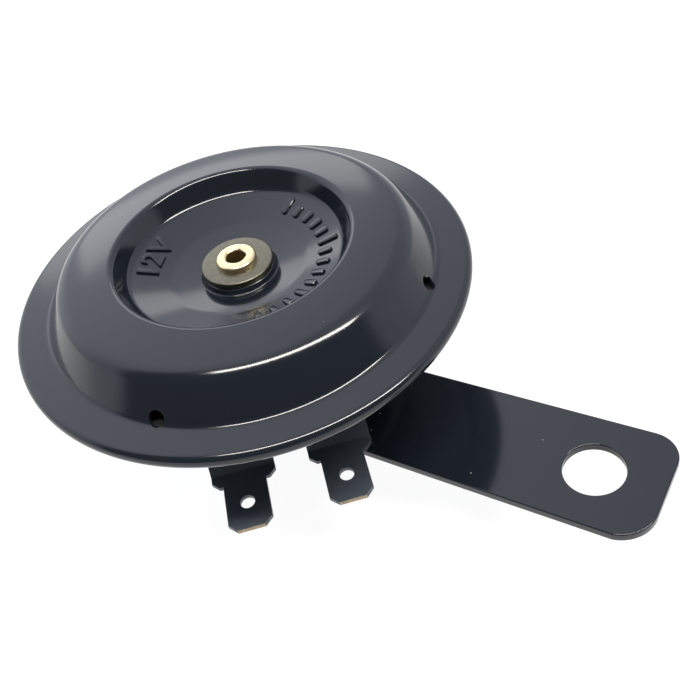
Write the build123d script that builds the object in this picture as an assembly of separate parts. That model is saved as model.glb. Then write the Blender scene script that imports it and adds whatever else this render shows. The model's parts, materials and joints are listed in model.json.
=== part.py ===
from build123d import *
from math import atan2, cos, degrees, hypot, radians, sin, sqrt, tan
import os

os.makedirs("parts", exist_ok=True)

# Car horn of the small flat-disc type: a stamped front plate with a raised ring round a sunk centre,
# crimped at its rim over a diaphragm and a drawn rear housing, with an electromagnet, a contact
# breaker, two blade terminals and a strip bracket behind.
#
# All sizes are in millimetres. The pieces are drawn on the horn's own axis: +Z towards the front,
# z = 0 at mid height of the crimped rim, +X towards the bracket's hole. At the end everything is
# shifted so that the centre of the bracket's hole, in its front face, is the origin.

# Driving dimensions

# rim and stack-up, from the front to the back
RIM_D = 67.0
PLATE_T = 0.45
FRONT_GASKET_T = 0.2
DIAPHRAGM_T = 0.2
REAR_GASKET_T = 0.15
HOUSING_T = 0.65
RIM_EDGE_R = 1.0
RIM_FIT = 0.1
LIP_REACH = 2.9

# front plate, outer surface, stepped inwards from the rim
FLANGE_W = 4.9
WALL_RUN = 3.7
RING_W = 7.7
RECESS_RUN = 1.4
PLATEAU_D = 10.6
PLATEAU_FOOT_D = 11.28
PLATEAU_H = 0.9
PLATEAU_FOOT_UP = 0.45
CONE_D = 20.0
CONE_H = 0.8
DISH_H = 2.6
RING_H = 6.15
RING_FALL = 0.6
FOOT_D = RIM_D - 2 * FLANGE_W
SHOULDER_D = FOOT_D - 2 * WALL_RUN
RECESS_EDGE_D = SHOULDER_D - 2 * RING_W
FLOOR_D = RECESS_EDGE_D - 2 * RECESS_RUN
SHOULDER_R = 3.2
VENT_D = 2.2
VENT_UP = 0.75
VENT_ANGLES = (15.0, 105.0, 195.0, 285.0)

# centre fastening
RIVET_HEAD_D = 5.9
RIVET_HEAD_H = 0.8
RIVET_SHANK_D = 4.1
RIVET_BORE_D = 2.9
RIVET_PLAY = 0.05
WASHER_D = 10.56
WASHER_T = 0.92
COLLAR_D = 8.6

# diaphragm
DIAPHRAGM_DROP = 1.0
DROP_OUT_D = RIM_D - 20.0
DROP_IN_D = DROP_OUT_D - 6.0

# rear housing, outer surface
BOWL_FLANGE_W = 3.9
BOWL_RUN = 2.0
SHELF_W = 7.6
BOWL_TOP_D = RIM_D - 2 * BOWL_FLANGE_W
BOWL_FOOT_D = BOWL_TOP_D - 2 * BOWL_RUN
SHELF_DEPTH = 4.9
POT_D = BOWL_FOOT_D - 2 * SHELF_W
POT_DEPTH = 13.8
POT_CORNER_R = 1.6
STUD_HOLE_D = 6.2

# magnet
ARMATURE_FLANGE_D = 16.0
ARMATURE_FLANGE_T = 1.6
ARMATURE_D = 10.0
ARMATURE_L = 7.8
FLARE_SEAT_D = 6.4
FLARE_SEAT_DEPTH = 1.2
AIR_GAP = 0.6
CORE_D = 10.0
STUD_D = 6.0
STUD_END = 2.05
BOBBIN_SHARE = 0.625
BOBBIN_FLANGE_D = BOBBIN_SHARE * POT_D
BOBBIN_FLANGE_T = 1.0
BOBBIN_L = 9.2
BOBBIN_TUBE_D = 12.6
BOBBIN_BORE_D = 10.8
BOBBIN_PRESS_D = 10.1
WINDING_UNDER = 0.7
WINDING_D = BOBBIN_FLANGE_D - 2 * WINDING_UNDER

# contact breaker, on the shelf at this angle from the bracket
BREAKER_ANGLE = 90.0
BREAKER_RIVET_BACK = 3.5
BREAKER_RIVET_R = POT_D / 2 + BREAKER_RIVET_BACK
STRIP_W = 6.0
LOWER_PAD_T = 0.6
SPRING_T = 0.3
MIDDLE_PAD_T = 0.7
FIXED_PLATE_T = 0.7
UPPER_PAD_T = 0.5
CONTACT_D = 3.0
CONTACT_R = 15.2
STRIP_END = 2.5
STRIP_OUT_R = BREAKER_RIVET_R + STRIP_END
SPRING_BEND_R = 12.4
SPRING_TIP_R = 5.8
FIXED_TIP_R = 13.0
BREAKER_RIVET_D = 2.0
BREAKER_HEAD_D = 4.0
BREAKER_HEAD_H = 0.7
PUSHER_D = 3.0
PUSHER_R = 6.9
EAR_REACH = 8.0
EAR_W = 4.4
TAB_BACK = 2.2
TAB_FRONT = 0.6
SPRING_TAB_REACH = 6.2
PLATE_TAB_REACH = 5.6

# adjusting screw
SCREW_D = 3.0
SCREW_OFFSET = 5.7
SCREW_IN = 5.0
SCREW_R = POT_D / 2 - SCREW_IN
SCREW_TAIL = 2.6
SCREW_CAP_H = 1.0
SCREW_CAP_D = 3.4
BUSH_D = 4.6
BUSH_H = 2.6
LOCK_NUT_AF = 5.5
LOCK_NUT_H = 2.4
SLOT_W = 0.6
SLOT_DEPTH = 0.9

# terminals
TERMINAL_ANGLE = -46.0
TERMINAL_SIDE = 7.2
TIP_IN = 3.1
TERMINAL_TIP = RIM_D / 2 - TIP_IN
BLADE_W = 6.3
BLADE_L = 7.8
BLADE_T = 0.8
BLADE_CUT = 1.2
BLADE_HOLE_D = 2.1
BLADE_HOLE_BACK = 4.3
SHOULDER_W = 9.4
SHOULDER_CUT = 1.0
CREASE_BACK = 1.9
TERMINAL_STEP = 1.9
TERMINAL_RIVET_IN = 5.4
TERMINAL_TAIL = 4.0
TERMINAL_RIVET_AT = POT_D / 2 - TERMINAL_RIVET_IN
TERMINAL_ROOT = TERMINAL_RIVET_AT - TERMINAL_TAIL
TERMINAL_RIVET_D = 3.0
TERMINAL_HEAD_D = 4.4
TERMINAL_HEAD_H = 0.8
OUTER_INSULATOR_T = 1.5
OUTER_INSULATOR_IN = TERMINAL_RIVET_AT - 5.1
OUTER_INSULATOR_OUT = TERMINAL_RIVET_AT + 3.9
INNER_INSULATOR_T = 1.0
INSULATOR_HALF_W = 12.4
SLEEVE_D = 5.0
SLEEVE_PLAY = 0.1

# bracket and its fastening
BRACKET_W = 17.1
BRACKET_T = 1.3
BRACKET_RISE_DEG = 5.8
BRACKET_BEND_X = 13.0
HOLE_OUT = 20.2
HOLE_X = RIM_D / 2 + HOLE_OUT
HOLE_D = 8.2
BRACKET_END = 9.35
FAR_CORNER_R = 4.0
NEAR_CUT_L = 5.2
NEAR_CUT_W = 3.6
BRACKET_STUD_HOLE_D = 6.4
NUT_AF = 10.0
NUT_H = 5.0
PLAIN_WASHER_D = 12.0
PLAIN_WASHER_T = 0.8
SPRING_WASHER_D = 11.6
SPRING_WASHER_T = 1.6
THREAD_FIT = 0.02

# leads
LEAD_D = 0.7
LINK_D = 1.3
LEAD_BEND_R = 1.0
LINK_BEND_R = 1.5
LEAD_PLAY = 0.03
LEAD_CLEAR = 1.6

# Worked-out heights
RIM_H = PLATE_T + FRONT_GASKET_T + DIAPHRAGM_T + REAR_GASKET_T + HOUSING_T + PLATE_T
FLANGE_Z = RIM_H / 2
RIM_R = RIM_D / 2
STACK_R = RIM_R - PLATE_T - (RIM_EDGE_R - PLATE_T) - RIM_FIT
UNDER_PLATE_Z = FLANGE_Z - PLATE_T
DIAPHRAGM_Z = UNDER_PLATE_Z - FRONT_GASKET_T
REAR_GASKET_Z = DIAPHRAGM_Z - DIAPHRAGM_T
SEAT_Z = REAR_GASKET_Z - REAR_GASKET_T
FOOT_Z = FLANGE_Z + PLATEAU_FOOT_UP
CONE_Z = FOOT_Z + CONE_H
FLOOR_Z = FOOT_Z + DISH_H
PLATEAU_Z = FOOT_Z + PLATEAU_H
RING_Z = FLANGE_Z + RING_H
SHOULDER_Z = RING_Z - RING_FALL
WASHER_Z = PLATEAU_Z + WASHER_T
CENTRE_Z = DIAPHRAGM_Z - DIAPHRAGM_DROP
ARMATURE_Z = CENTRE_Z - DIAPHRAGM_T
ARMATURE_END_Z = ARMATURE_Z - ARMATURE_L
SHELF_Z = SEAT_Z - SHELF_DEPTH
POT_Z = SEAT_Z - POT_DEPTH
POT_BACK_Z = POT_Z - HOUSING_T
BRACKET_Z = POT_BACK_Z - NUT_H - PLAIN_WASHER_T
BRACKET_BACK_Z = BRACKET_Z - BRACKET_T
OUTER_NUT_Z = BRACKET_BACK_Z - SPRING_WASHER_T
STUD_END_Z = OUTER_NUT_Z - NUT_H - STUD_END
RISE = radians(BRACKET_RISE_DEG)
HOLE_Z = BRACKET_Z + (HOLE_X - BRACKET_BEND_X) * tan(RISE)
TO_MOUNT = Pos(-HOLE_X, 0, -HOLE_Z)


# Drawing helpers
def path_edges(points, radii):
    """Straight runs through the points, each inner corner rounded to its radius."""
    edges = []
    here = Vector(*points[0])
    for i in range(1, len(points) - 1):
        corner = Vector(*points[i])
        back = (Vector(*points[i - 1]) - corner).normalized()
        ahead = (Vector(*points[i + 1]) - corner).normalized()
        r = radii[i - 1]
        if r <= 0:
            edges.append(Line(here, corner))
            here = corner
            continue
        half = radians(back.get_angle(ahead)) / 2
        reach = r / tan(half)
        start = corner + back * reach
        stop = corner + ahead * reach
        centre = corner + (back + ahead).normalized() * (r / sin(half))
        middle = centre + (corner - centre).normalized() * r
        if (start - here).length > 1e-6:
            edges.append(Line(here, start))
        edges.append(ThreePointArc(start, middle, stop))
        here = stop
    last = Vector(*points[-1])
    if (last - here).length > 1e-6:
        edges.append(Line(here, last))
    return edges


def offset_points(points, t):
    """The same run of points moved t to its right-hand side, with mitred corners."""
    out = []
    count = len(points)
    for i in range(count):
        normals = []
        for a, b in ((i - 1, i), (i, i + 1)):
            if a < 0 or b > count - 1:
                continue
            dx = points[b][0] - points[a][0]
            dz = points[b][2] - points[a][2]
            size = hypot(dx, dz)
            normals.append((dz / size, -dx / size))
        if len(normals) == 1:
            nx, nz = normals[0]
            k = t
        else:
            nx = normals[0][0] + normals[1][0]
            nz = normals[0][1] + normals[1][1]
            size = hypot(nx, nz)
            nx = nx / size
            nz = nz / size
            k = t / (nx * normals[0][0] + nz * normals[0][1])
        out.append((points[i][0] + nx * k, 0, points[i][2] + nz * k))
    return out


def sheet(points, radii, t):
    """Face of a bent sheet in the XZ plane: one surface through the points, the other t to the right."""
    flat = [(x, 0, z) for x, z in points]
    other = offset_points(flat, t)
    other_radii = []
    for i in range(1, len(points) - 1):
        ax = points[i][0] - points[i - 1][0]
        az = points[i][1] - points[i - 1][1]
        bx = points[i + 1][0] - points[i][0]
        bz = points[i + 1][1] - points[i][1]
        turns_right = ax * bz - az * bx < 0
        r = radii[i - 1]
        other_radii.append(max(r - t, 0.05) if turns_right else r + t)
    edges = path_edges(flat, radii)
    edges.append(Line(flat[-1], other[-1]))
    edges += path_edges(other[::-1], other_radii[::-1])
    edges.append(Line(other[0], flat[0]))
    return make_face(edges)


def turned(points):
    """Solid of revolution about Z from a closed run of (radius, height) points."""
    return revolve(make_face(Polyline(*[(r, 0, z) for r, z in points], close=True)), Axis.Z)


def ring(r_in, r_out, z_low, z_high):
    """Plain ring; a disc when the inner radius is zero."""
    body = Pos(0, 0, z_low) * Cylinder(r_out, z_high - z_low, align=(Align.CENTER, Align.CENTER, Align.MIN))
    if r_in > 0:
        body -= Pos(0, 0, z_low - 1) * Cylinder(
            r_in, z_high - z_low + 2, align=(Align.CENTER, Align.CENTER, Align.MIN)
        )
    return body


def block(x0, x1, y0, y1, z0, z1):
    """Box between two corners."""
    return Pos((x0 + x1) / 2, (y0 + y1) / 2, (z0 + z1) / 2) * Box(x1 - x0, y1 - y0, z1 - z0)


def hexagon(across, z_low, z_high, bore_r, chamfer_r):
    """Hexagon nut with turned corners and a bore."""
    body = Pos(0, 0, z_low) * extrude(RegularPolygon(across / 2, 6, major_radius=False), z_high - z_low)
    lathe = turned(
        [
            (0, z_low),
            (chamfer_r, z_low),
            (across / sqrt(3), z_low + 0.7),
            (across / sqrt(3), z_high - 0.7),
            (chamfer_r, z_high),
            (0, z_high),
        ]
    )
    body = body & lathe
    return body - ring(0, bore_r, z_low - 1, z_high + 1)


def wire_run(points, diameter, bend):
    """Round wire in straight runs, with a tangent bend of one radius at each inner point."""
    line = Wire(path_edges(points, [bend] * (len(points) - 2)))
    start = Plane(origin=line @ 0, z_dir=line % 0)
    return sweep(start * Circle(diameter / 2), path=line)


nodes = {}


def put(name, shape):
    nodes[name] = shape


# Front plate: one stamping, with its rim rolled round the stack and turned in behind it
plate_path = [
    (RIVET_SHANK_D / 2 + RIVET_PLAY, PLATEAU_Z),
    (PLATEAU_D / 2, PLATEAU_Z),
    (PLATEAU_FOOT_D / 2, FOOT_Z),
    (CONE_D / 2, CONE_Z),
    (FLOOR_D / 2, FLOOR_Z),
    (RECESS_EDGE_D / 2, RING_Z),
    (SHOULDER_D / 2, SHOULDER_Z),
    (FOOT_D / 2, FLANGE_Z),
    (RIM_R, FLANGE_Z),
    (RIM_R, -FLANGE_Z),
    (RIM_R - LIP_REACH, -FLANGE_Z),
]
plate_radii = [0.5, 0.3, 8.0, 1.4, 1.0, SHOULDER_R, 1.1, RIM_EDGE_R, RIM_EDGE_R]
front_plate = revolve(sheet(plate_path, plate_radii, PLATE_T), Axis.Z)
wall_in = SHOULDER_D / 2 - FOOT_D / 2
wall_h = SHOULDER_Z - FLANGE_Z
wall_lean = degrees(atan2(-wall_in, wall_h))
vent_r = FOOT_D / 2 + wall_in * VENT_UP / wall_h
for angle in VENT_ANGLES:
    drill = Pos(vent_r, 0, FLANGE_Z + VENT_UP) * Rot(0, 90 - wall_lean, 0) * Cylinder(VENT_D / 2, 3)
    front_plate -= Rot(0, 0, angle) * drill
put("front_plate", front_plate)

# Gaskets on both sides of the diaphragm, and the diaphragm with its stepped centre
put("front_gasket", ring(STACK_R - 2.2, STACK_R, DIAPHRAGM_Z, UNDER_PLATE_Z))
put("rear_gasket", ring(STACK_R - 2.1, STACK_R, SEAT_Z, REAR_GASKET_Z))
diaphragm_path = [
    (RIVET_SHANK_D / 2 + RIVET_PLAY, CENTRE_Z),
    (DROP_IN_D / 2, CENTRE_Z),
    (DROP_OUT_D / 2, DIAPHRAGM_Z),
    (STACK_R, DIAPHRAGM_Z),
]
put("diaphragm", revolve(sheet(diaphragm_path, [1.5, 1.5], DIAPHRAGM_T), Axis.Z))

# Rear housing: a drawn bowl, a shelf for the breaker and a deep pot for the magnet
housing_path = [
    (STUD_HOLE_D / 2, POT_BACK_Z),
    (POT_D / 2, POT_BACK_Z),
    (POT_D / 2, SHELF_Z - HOUSING_T),
    (BOWL_FOOT_D / 2, SHELF_Z - HOUSING_T),
    (BOWL_TOP_D / 2, SEAT_Z - HOUSING_T),
    (STACK_R, SEAT_Z - HOUSING_T),
]
housing = revolve(sheet(housing_path[::-1], [0.8, 1.6, 0.8, POT_CORNER_R], HOUSING_T), Axis.Z)


def at_angle(angle):
    return Rot(0, 0, angle)


def terminal_side(side):
    return at_angle(TERMINAL_ANGLE) * Pos(0, side * TERMINAL_SIDE, 0)


breaker = at_angle(BREAKER_ANGLE)
screw_at = breaker * Pos(SCREW_R, SCREW_OFFSET, 0)
for side in (-1, 1):
    housing -= (
        terminal_side(side)
        * Pos(TERMINAL_RIVET_AT, 0, 0)
        * ring(0, SLEEVE_D / 2 + SLEEVE_PLAY, POT_BACK_Z - 1, POT_Z + 1)
    )
housing -= breaker * Pos(BREAKER_RIVET_R, 0, 0) * ring(0, BREAKER_RIVET_D / 2 + 0.05, SHELF_Z - 2, SHELF_Z + 1)
housing -= screw_at * ring(0, SCREW_D / 2 + 0.15, POT_BACK_Z - 1, POT_Z + 1)
put("rear_housing", housing)

# Centre fastening: a hollow rivet through washer, front plate, collar, diaphragm and armature
shank_r = RIVET_SHANK_D / 2
hole_r = shank_r + RIVET_PLAY
bore_r = RIVET_BORE_D / 2
head_r = RIVET_HEAD_D / 2
flare_top = ARMATURE_END_Z + FLARE_SEAT_DEPTH
rivet = turned(
    [
        (bore_r, WASHER_Z + RIVET_HEAD_H - 0.25),
        (bore_r + 0.25, WASHER_Z + RIVET_HEAD_H),
        (head_r - 0.45, WASHER_Z + RIVET_HEAD_H),
        (head_r - 0.12, WASHER_Z + RIVET_HEAD_H - 0.15),
        (head_r, WASHER_Z + RIVET_HEAD_H - 0.4),
        (head_r, WASHER_Z),
        (shank_r, WASHER_Z),
        (shank_r, flare_top),
        (FLARE_SEAT_D / 2 - 0.3, flare_top),
        (FLARE_SEAT_D / 2 - 0.4, flare_top - 0.6),
        (bore_r, flare_top - 0.6),
    ]
)
put("centre_rivet", rivet)
put(
    "centre_washer",
    turned(
        [
            (hole_r, PLATEAU_Z),
            (WASHER_D / 2 - 0.15, PLATEAU_Z),
            (WASHER_D / 2, PLATEAU_Z + 0.15),
            (WASHER_D / 2, WASHER_Z - 0.25),
            (WASHER_D / 2 - 0.25, WASHER_Z),
            (hole_r, WASHER_Z),
        ]
    ),
)
put("centre_collar", ring(hole_r, COLLAR_D / 2, CENTRE_Z, PLATEAU_Z - PLATE_T))

# Armature: a flanged steel plug under the diaphragm
put(
    "armature",
    turned(
        [
            (hole_r, ARMATURE_Z),
            (ARMATURE_FLANGE_D / 2, ARMATURE_Z),
            (ARMATURE_FLANGE_D / 2, ARMATURE_Z - ARMATURE_FLANGE_T),
            (ARMATURE_D / 2, ARMATURE_Z - ARMATURE_FLANGE_T),
            (ARMATURE_D / 2, ARMATURE_END_Z + 0.4),
            (ARMATURE_D / 2 - 0.4, ARMATURE_END_Z),
            (FLARE_SEAT_D / 2, ARMATURE_END_Z),
            (FLARE_SEAT_D / 2, flare_top),
            (hole_r, flare_top),
        ]
    ),
)

# Pole core and mounting stud, turned from one bar
core_top = ARMATURE_END_Z - AIR_GAP
put(
    "pole_core",
    turned(
        [
            (0, core_top),
            (CORE_D / 2 - 0.4, core_top),
            (CORE_D / 2, core_top - 0.4),
            (CORE_D / 2, POT_Z),
            (STUD_D / 2, POT_Z),
            (STUD_D / 2, STUD_END_Z + 0.7),
            (STUD_D / 2 - 0.7, STUD_END_Z),
            (0, STUD_END_Z),
        ]
    ),
)

# Coil: bobbin pressed on the core, with its winding
bobbin_top = POT_Z + BOBBIN_L
press_top = core_top
put(
    "coil_bobbin",
    turned(
        [
            (BOBBIN_PRESS_D / 2, POT_Z),
            (BOBBIN_FLANGE_D / 2, POT_Z),
            (BOBBIN_FLANGE_D / 2, POT_Z + BOBBIN_FLANGE_T),
            (BOBBIN_TUBE_D / 2, POT_Z + BOBBIN_FLANGE_T),
            (BOBBIN_TUBE_D / 2, bobbin_top - BOBBIN_FLANGE_T),
            (BOBBIN_FLANGE_D / 2, bobbin_top - BOBBIN_FLANGE_T),
            (BOBBIN_FLANGE_D / 2, bobbin_top),
            (BOBBIN_BORE_D / 2, bobbin_top),
            (BOBBIN_BORE_D / 2, press_top),
            (BOBBIN_PRESS_D / 2, press_top),
        ]
    ),
)
put(
    "coil_winding",
    ring(BOBBIN_TUBE_D / 2, WINDING_D / 2, POT_Z + BOBBIN_FLANGE_T, bobbin_top - BOBBIN_FLANGE_T),
)

# Contact breaker: spring below, fixed plate above, clamped between fibre pads by one rivet
spring_z = SHELF_Z + LOWER_PAD_T
spring_top = spring_z + SPRING_T
fixed_z = spring_top + MIDDLE_PAD_T
fixed_top = fixed_z + FIXED_PLATE_T
pads_top = fixed_top + UPPER_PAD_T
pusher_z = ARMATURE_Z - ARMATURE_FLANGE_T
pad_hole = BREAKER_RIVET_D / 2 + 0.05


def breaker_pad(z_low, z_high):
    body = block(BREAKER_RIVET_R - 2.4, STRIP_OUT_R, -STRIP_W / 2, STRIP_W / 2, z_low, z_high)
    return breaker * (body - Pos(BREAKER_RIVET_R, 0, 0) * ring(0, pad_hole, z_low - 1, z_high + 1))


put("contact_pad_lower", breaker_pad(SHELF_Z, spring_z))
put("contact_pad_middle", breaker_pad(spring_top, fixed_z))
put("contact_pad_upper", breaker_pad(fixed_top, pads_top))

tip_top = pusher_z - 0.4
rise_run = tip_top - spring_top
spring_path = [
    (STRIP_OUT_R, spring_z),
    (SPRING_BEND_R, spring_z),
    (SPRING_BEND_R - rise_run, tip_top - SPRING_T),
    (SPRING_TIP_R, tip_top - SPRING_T),
]
spring_body = extrude(sheet(spring_path, [0.6, 0.6], SPRING_T), STRIP_W / 2, both=True)
narrow = block(0, BREAKER_RIVET_R - 3.6, STRIP_W / 2 - 1, 9, -20, 20)
spring_body -= narrow
spring_body -= mirror(narrow, Plane.XZ)
tab_in = BREAKER_RIVET_R - TAB_BACK
tab_out = BREAKER_RIVET_R + TAB_FRONT
spring_tab = block(tab_in, tab_out, STRIP_W / 2 - 0.2, SPRING_TAB_REACH, spring_z, spring_top)
spring_body += spring_tab
spring_body -= Pos(BREAKER_RIVET_R, 0, 0) * ring(0, pad_hole, spring_z - 1, spring_top + 1)
put("moving_contact_spring", breaker * spring_body)

fixed_body = block(FIXED_TIP_R, STRIP_OUT_R, -STRIP_W / 2, STRIP_W / 2, fixed_z, fixed_top)
fixed_body += block(SCREW_R - EAR_W / 2, SCREW_R + EAR_W / 2, 0, EAR_REACH, fixed_z, fixed_top)
fixed_body += block(tab_in, tab_out, -PLATE_TAB_REACH, 0, fixed_z, fixed_top)
fixed_body -= Pos(BREAKER_RIVET_R, 0, 0) * ring(0, pad_hole, fixed_z - 1, fixed_top + 1)
put("fixed_contact_plate", breaker * fixed_body)

contact_mid = (spring_top + fixed_z) / 2
put("moving_contact_point", breaker * Pos(CONTACT_R, 0, 0) * ring(0, CONTACT_D / 2, spring_top, contact_mid))
put("fixed_contact_point", breaker * Pos(CONTACT_R, 0, 0) * ring(0, CONTACT_D / 2, contact_mid, fixed_z))
put("pusher_pad", breaker * Pos(PUSHER_R, 0, 0) * ring(0, PUSHER_D / 2, tip_top, pusher_z))
put(
    "contact_rivet",
    breaker
    * Pos(BREAKER_RIVET_R, 0, 0)
    * turned(
        [
            (0, pads_top + BREAKER_HEAD_H),
            (BREAKER_HEAD_D / 2 - 0.7, pads_top + BREAKER_HEAD_H),
            (BREAKER_HEAD_D / 2 - 0.15, pads_top + BREAKER_HEAD_H / 2),
            (BREAKER_HEAD_D / 2, pads_top),
            (BREAKER_RIVET_D / 2, pads_top),
            (BREAKER_RIVET_D / 2, SHELF_Z - HOUSING_T),
            (BREAKER_HEAD_D / 2 - 0.3, SHELF_Z - HOUSING_T),
            (BREAKER_HEAD_D / 2 - 0.8, SHELF_Z - HOUSING_T - 0.6),
            (0, SHELF_Z - HOUSING_T - 0.6),
        ]
    ),
)

# Adjusting screw: from the back of the pot up to the ear of the fixed plate
cap_z = fixed_z - SCREW_CAP_H
lock_z = POT_BACK_Z - LOCK_NUT_H
screw_end = lock_z - SCREW_TAIL
screw = turned(
    [
        (0, cap_z),
        (SCREW_D / 2 - 0.4, cap_z),
        (SCREW_D / 2, cap_z - 0.4),
        (SCREW_D / 2, screw_end + 0.3),
        (SCREW_D / 2 - 0.3, screw_end),
        (0, screw_end),
    ]
)
screw -= block(-SCREW_D, SCREW_D, -SLOT_W / 2, SLOT_W / 2, screw_end - 1, screw_end + SLOT_DEPTH)
put("adjusting_screw", screw_at * screw)
put("adjusting_screw_cap", screw_at * ring(0, SCREW_CAP_D / 2, cap_z, fixed_z))
put("adjusting_bush", screw_at * ring(SCREW_D / 2 + THREAD_FIT, BUSH_D / 2, POT_Z, POT_Z + BUSH_H))
put(
    "adjusting_lock_nut",
    screw_at * hexagon(LOCK_NUT_AF, lock_z, POT_BACK_Z, SCREW_D / 2 + THREAD_FIT, LOCK_NUT_AF / 2 - 0.1),
)

# Terminals: cut and stepped from brass strip, flat blades pointing out under the rim
outer_z = POT_BACK_Z - OUTER_INSULATOR_T
blade_top = outer_z - TERMINAL_STEP
shoulder_at = TERMINAL_TIP - BLADE_L
crease_at = shoulder_at - CREASE_BACK
terminal_path = [
    (TERMINAL_TIP, blade_top),
    (crease_at, blade_top),
    (crease_at - TERMINAL_STEP, outer_z),
    (TERMINAL_ROOT, outer_z),
]
half_shoulder = SHOULDER_W / 2
half_blade = BLADE_W / 2
terminal_plan = [
    (TERMINAL_ROOT, -half_shoulder),
    (shoulder_at - SHOULDER_CUT, -half_shoulder),
    (shoulder_at, -half_shoulder + SHOULDER_CUT),
    (shoulder_at, -half_blade),
    (TERMINAL_TIP - BLADE_CUT, -half_blade),
    (TERMINAL_TIP, -half_blade + BLADE_CUT),
    (TERMINAL_TIP, half_blade - BLADE_CUT),
    (TERMINAL_TIP - BLADE_CUT, half_blade),
    (shoulder_at, half_blade),
    (shoulder_at, half_shoulder - SHOULDER_CUT),
    (shoulder_at - SHOULDER_CUT, half_shoulder),
    (TERMINAL_ROOT, half_shoulder),
]
strip = extrude(sheet(terminal_path[::-1], [0.5, 0.5], BLADE_T), SHOULDER_W, both=True)
plan = Pos(0, 0, blade_top - 5) * extrude(make_face(Polyline(*terminal_plan, close=True)), 12)
terminal = strip & plan
terminal -= Pos(TERMINAL_TIP - BLADE_HOLE_BACK, 0, 0) * ring(0, BLADE_HOLE_D / 2, blade_top - 3, blade_top + 1)
terminal -= Pos(TERMINAL_RIVET_AT, 0, 0) * ring(0, TERMINAL_RIVET_D / 2 + 0.05, outer_z - 3, outer_z + 1)
put("terminal_left", terminal_side(-1) * terminal)
put("terminal_right", terminal_side(1) * terminal)

# Insulators outside and inside the pot, the outer one with sleeves through the wall
outer_plate = block(
    OUTER_INSULATOR_IN, OUTER_INSULATOR_OUT, -INSULATOR_HALF_W, INSULATOR_HALF_W, outer_z, POT_BACK_Z
)
outer_plate = outer_plate & ring(0, POT_D / 2 - 0.4, outer_z - 1, POT_BACK_Z + 1)
inner_plate = block(0, POT_D / 2, -INSULATOR_HALF_W, INSULATOR_HALF_W, POT_Z, POT_Z + INNER_INSULATOR_T)
inner_plate = inner_plate & ring(
    BOBBIN_FLANGE_D / 2 + 0.3, POT_D / 2 - POT_CORNER_R, POT_Z - 1, POT_Z + INNER_INSULATOR_T + 1
)
for side in (-1, 1):
    at_rivet = Pos(TERMINAL_RIVET_AT, side * TERMINAL_SIDE, 0)
    outer_plate += at_rivet * ring(0, SLEEVE_D / 2, POT_BACK_Z - 0.5, POT_Z)
    outer_plate -= at_rivet * ring(0, TERMINAL_RIVET_D / 2 + 0.05, outer_z - 1, POT_Z + 1)
    inner_plate -= at_rivet * ring(0, TERMINAL_RIVET_D / 2 + 0.05, POT_Z - 1, POT_Z + 3)
put("terminal_insulator_outer", at_angle(TERMINAL_ANGLE) * outer_plate)
put("terminal_insulator_inner", at_angle(TERMINAL_ANGLE) * inner_plate)

inner_top = POT_Z + INNER_INSULATOR_T
base_low = outer_z - BLADE_T
terminal_rivet = turned(
    [
        (0, inner_top + TERMINAL_HEAD_H),
        (TERMINAL_HEAD_D / 2 - 0.9, inner_top + TERMINAL_HEAD_H),
        (TERMINAL_HEAD_D / 2 - 0.2, inner_top + TERMINAL_HEAD_H / 2),
        (TERMINAL_HEAD_D / 2, inner_top),
        (TERMINAL_RIVET_D / 2, inner_top),
        (TERMINAL_RIVET_D / 2, base_low),
        (TERMINAL_HEAD_D / 2, base_low),
        (TERMINAL_HEAD_D / 2 - 0.2, base_low - TERMINAL_HEAD_H / 2),
        (TERMINAL_HEAD_D / 2 - 0.9, base_low - TERMINAL_HEAD_H),
        (0, base_low - TERMINAL_HEAD_H),
    ]
)
put("terminal_rivet_left", terminal_side(-1) * Pos(TERMINAL_RIVET_AT, 0, 0) * terminal_rivet)
put("terminal_rivet_right", terminal_side(1) * Pos(TERMINAL_RIVET_AT, 0, 0) * terminal_rivet)

# Bracket: one strip, flat on the stud and bent a little forwards beyond the pot
end_x = HOLE_X + BRACKET_END * cos(RISE) + 2
bracket_path = [
    (end_x, BRACKET_Z + (end_x - BRACKET_BEND_X) * tan(RISE)),
    (BRACKET_BEND_X, BRACKET_Z),
    (-BRACKET_W / 2, BRACKET_Z),
]
half_w = BRACKET_W / 2
bracket = extrude(sheet(bracket_path[::-1], [6.0], BRACKET_T), half_w, both=True)
round_end = ring(0, half_w, BRACKET_Z - 5, BRACKET_Z + 5)
round_end += block(0, end_x + 5, -half_w, half_w, BRACKET_Z - 5, BRACKET_Z + 12)
bracket = bracket & round_end
blade_plane = Pos(HOLE_X, 0, HOLE_Z) * Rot(0, -BRACKET_RISE_DEG, 0)
near_mid = (BRACKET_END - 1.55, -half_w + 1.3)
outline = [
    Line((-80, half_w), (BRACKET_END - FAR_CORNER_R, half_w)),
    ThreePointArc(
        (BRACKET_END - FAR_CORNER_R, half_w),
        (BRACKET_END - FAR_CORNER_R * (1 - sqrt(0.5)), half_w - FAR_CORNER_R * (1 - sqrt(0.5))),
        (BRACKET_END, half_w - FAR_CORNER_R),
    ),
    Line((BRACKET_END, half_w - FAR_CORNER_R), (BRACKET_END, -NEAR_CUT_W)),
    ThreePointArc((BRACKET_END, -NEAR_CUT_W), near_mid, (NEAR_CUT_L, -half_w)),
    Line((NEAR_CUT_L, -half_w), (-80, -half_w)),
    Line((-80, -half_w), (-80, half_w)),
]
trim = blade_plane * Pos(0, 0, -12) * extrude(make_face(outline), 24)
bracket = bracket & trim
bracket -= blade_plane * ring(0, HOLE_D / 2, -5, 5)
bracket -= ring(0, BRACKET_STUD_HOLE_D / 2, BRACKET_Z - 5, BRACKET_Z + 5)
put("bracket", bracket)

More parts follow.
